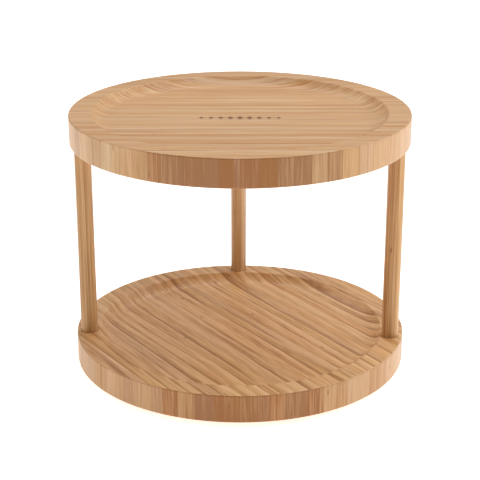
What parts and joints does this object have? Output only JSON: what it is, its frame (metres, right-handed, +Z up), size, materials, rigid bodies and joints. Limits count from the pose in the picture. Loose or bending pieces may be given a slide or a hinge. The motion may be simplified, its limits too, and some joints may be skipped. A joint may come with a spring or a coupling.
{
  "type": "tiered lazy susan turntable",
  "caption": "Tiered round turntable: dished bamboo trays on round posts that turn together on a ball race set in the lower tray's underside.",
  "frame": {"origin": "on the spin axis, on the surface that the feet stand on", "axes": "+Z up along the spin axis, +Y towards the back post, +X towards the right post"},
  "size_m": [0.254, 0.254, 0.198],
  "materials": {
    "upper_tray_bamboo": "satin clear coat",
    "lower_tray_bamboo": "satin clear coat",
    "post_bamboo": "satin clear coat",
    "base_bamboo": "sanded, thin clear coat",
    "race_aluminium": "turned, clear anodised",
    "ball_steel": "ground and polished",
    "cage_nylon": "moulded",
    "plug_steel": "machined",
    "screw_zinc": "bright zinc plated",
    "insert_brass": "machined",
    "foot_rubber": "moulded"
  },
  "bodies": {
    "base": {"base_ring": "base_bamboo", "outer_race": "race_aluminium", "ball_plug": "plug_steel", "base_screws": "screw_zinc", "foot_1": "foot_rubber", "foot_2": "foot_rubber", "foot_3": "foot_rubber", "foot_4": "foot_rubber", "foot_5": "foot_rubber", "foot_6": "foot_rubber"},
    "turntable": {"upper_tray": "upper_tray_bamboo", "lower_tray": "lower_tray_bamboo", "inner_race": "race_aluminium", "tray_screws": "screw_zinc", "post_back": "post_bamboo", "post_screw_back": "screw_zinc", "post_stud_back": "screw_zinc", "post_insert_back": "insert_brass", "post_left": "post_bamboo", "post_screw_left": "screw_zinc", "post_stud_left": "screw_zinc", "post_insert_left": "insert_brass", "post_right": "post_bamboo", "post_screw_right": "screw_zinc", "post_stud_right": "screw_zinc", "post_insert_right": "insert_brass"},
    "ball_set": {"ball_cage": "cage_nylon", "race_balls": "ball_steel"}
  },
  "joints": [
    {"name": "turntable_spin", "type": "hinge", "parent": "base", "child": "turntable", "pos_m": [0, 0, 0.0095], "axis": [0, 0, 1], "continuous": true},
    {"name": "cage_spin", "type": "hinge", "parent": "base", "child": "ball_set", "pos_m": [0, 0, 0.0095], "axis": [0, 0, 1], "continuous": true}
  ],
  "couplings": [
    {"joint": "cage_spin", "follows": "turntable_spin", "ratio": 0.4892}
  ]
}
